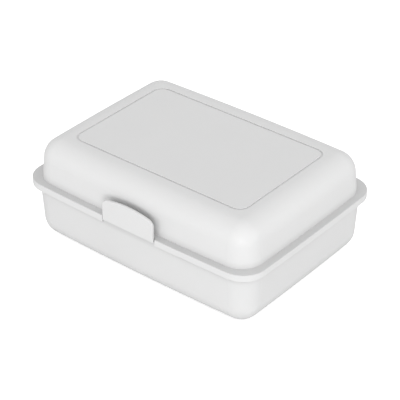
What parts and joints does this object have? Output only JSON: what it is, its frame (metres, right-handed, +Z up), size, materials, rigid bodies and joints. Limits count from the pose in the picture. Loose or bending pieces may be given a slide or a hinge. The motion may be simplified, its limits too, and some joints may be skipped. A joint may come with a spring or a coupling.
{
  "type": "lunch box",
  "caption": "Rectangular lunch box with a domed hinged lid, flush label panel, front latch, seal and removable divider.",
  "frame": {"origin": "middle of the flat foot, on the table", "axes": "+X to the right along the long side, -Y to the front where the latch is, +Z up"},
  "size_m": [0.178, 0.1362, 0.0677],
  "materials": {
    "white_plastic": "smooth satin moulded polypropylene, white",
    "panel_plastic": "fine matt moulded polypropylene, white",
    "seal_rubber": "soft satin silicone, pale grey",
    "pin_steel": "drawn stainless wire"
  },
  "bodies": {
    "tub": {"base_tub": "white_plastic", "divider": "white_plastic", "latch_pin": "pin_steel", "hinge_pin_left": "pin_steel", "hinge_pin_right": "pin_steel"},
    "lid": {"lid_shell": "white_plastic", "lid_panel": "panel_plastic", "lid_seal": "seal_rubber"},
    "latch": {"latch_clip": "white_plastic"}
  },
  "joints": [
    {"name": "lid_hinge", "type": "hinge", "parent": "tub", "child": "lid", "pos_m": [0, 0.0674, 0.0344], "axis": [-1, 0, 0], "range_deg": [0, 180]},
    {"name": "latch_hinge", "type": "hinge", "parent": "tub", "child": "latch", "pos_m": [0, -0.0639, 0.03875], "axis": [1, 0, 0], "range_deg": [0, 105]}
  ]
}
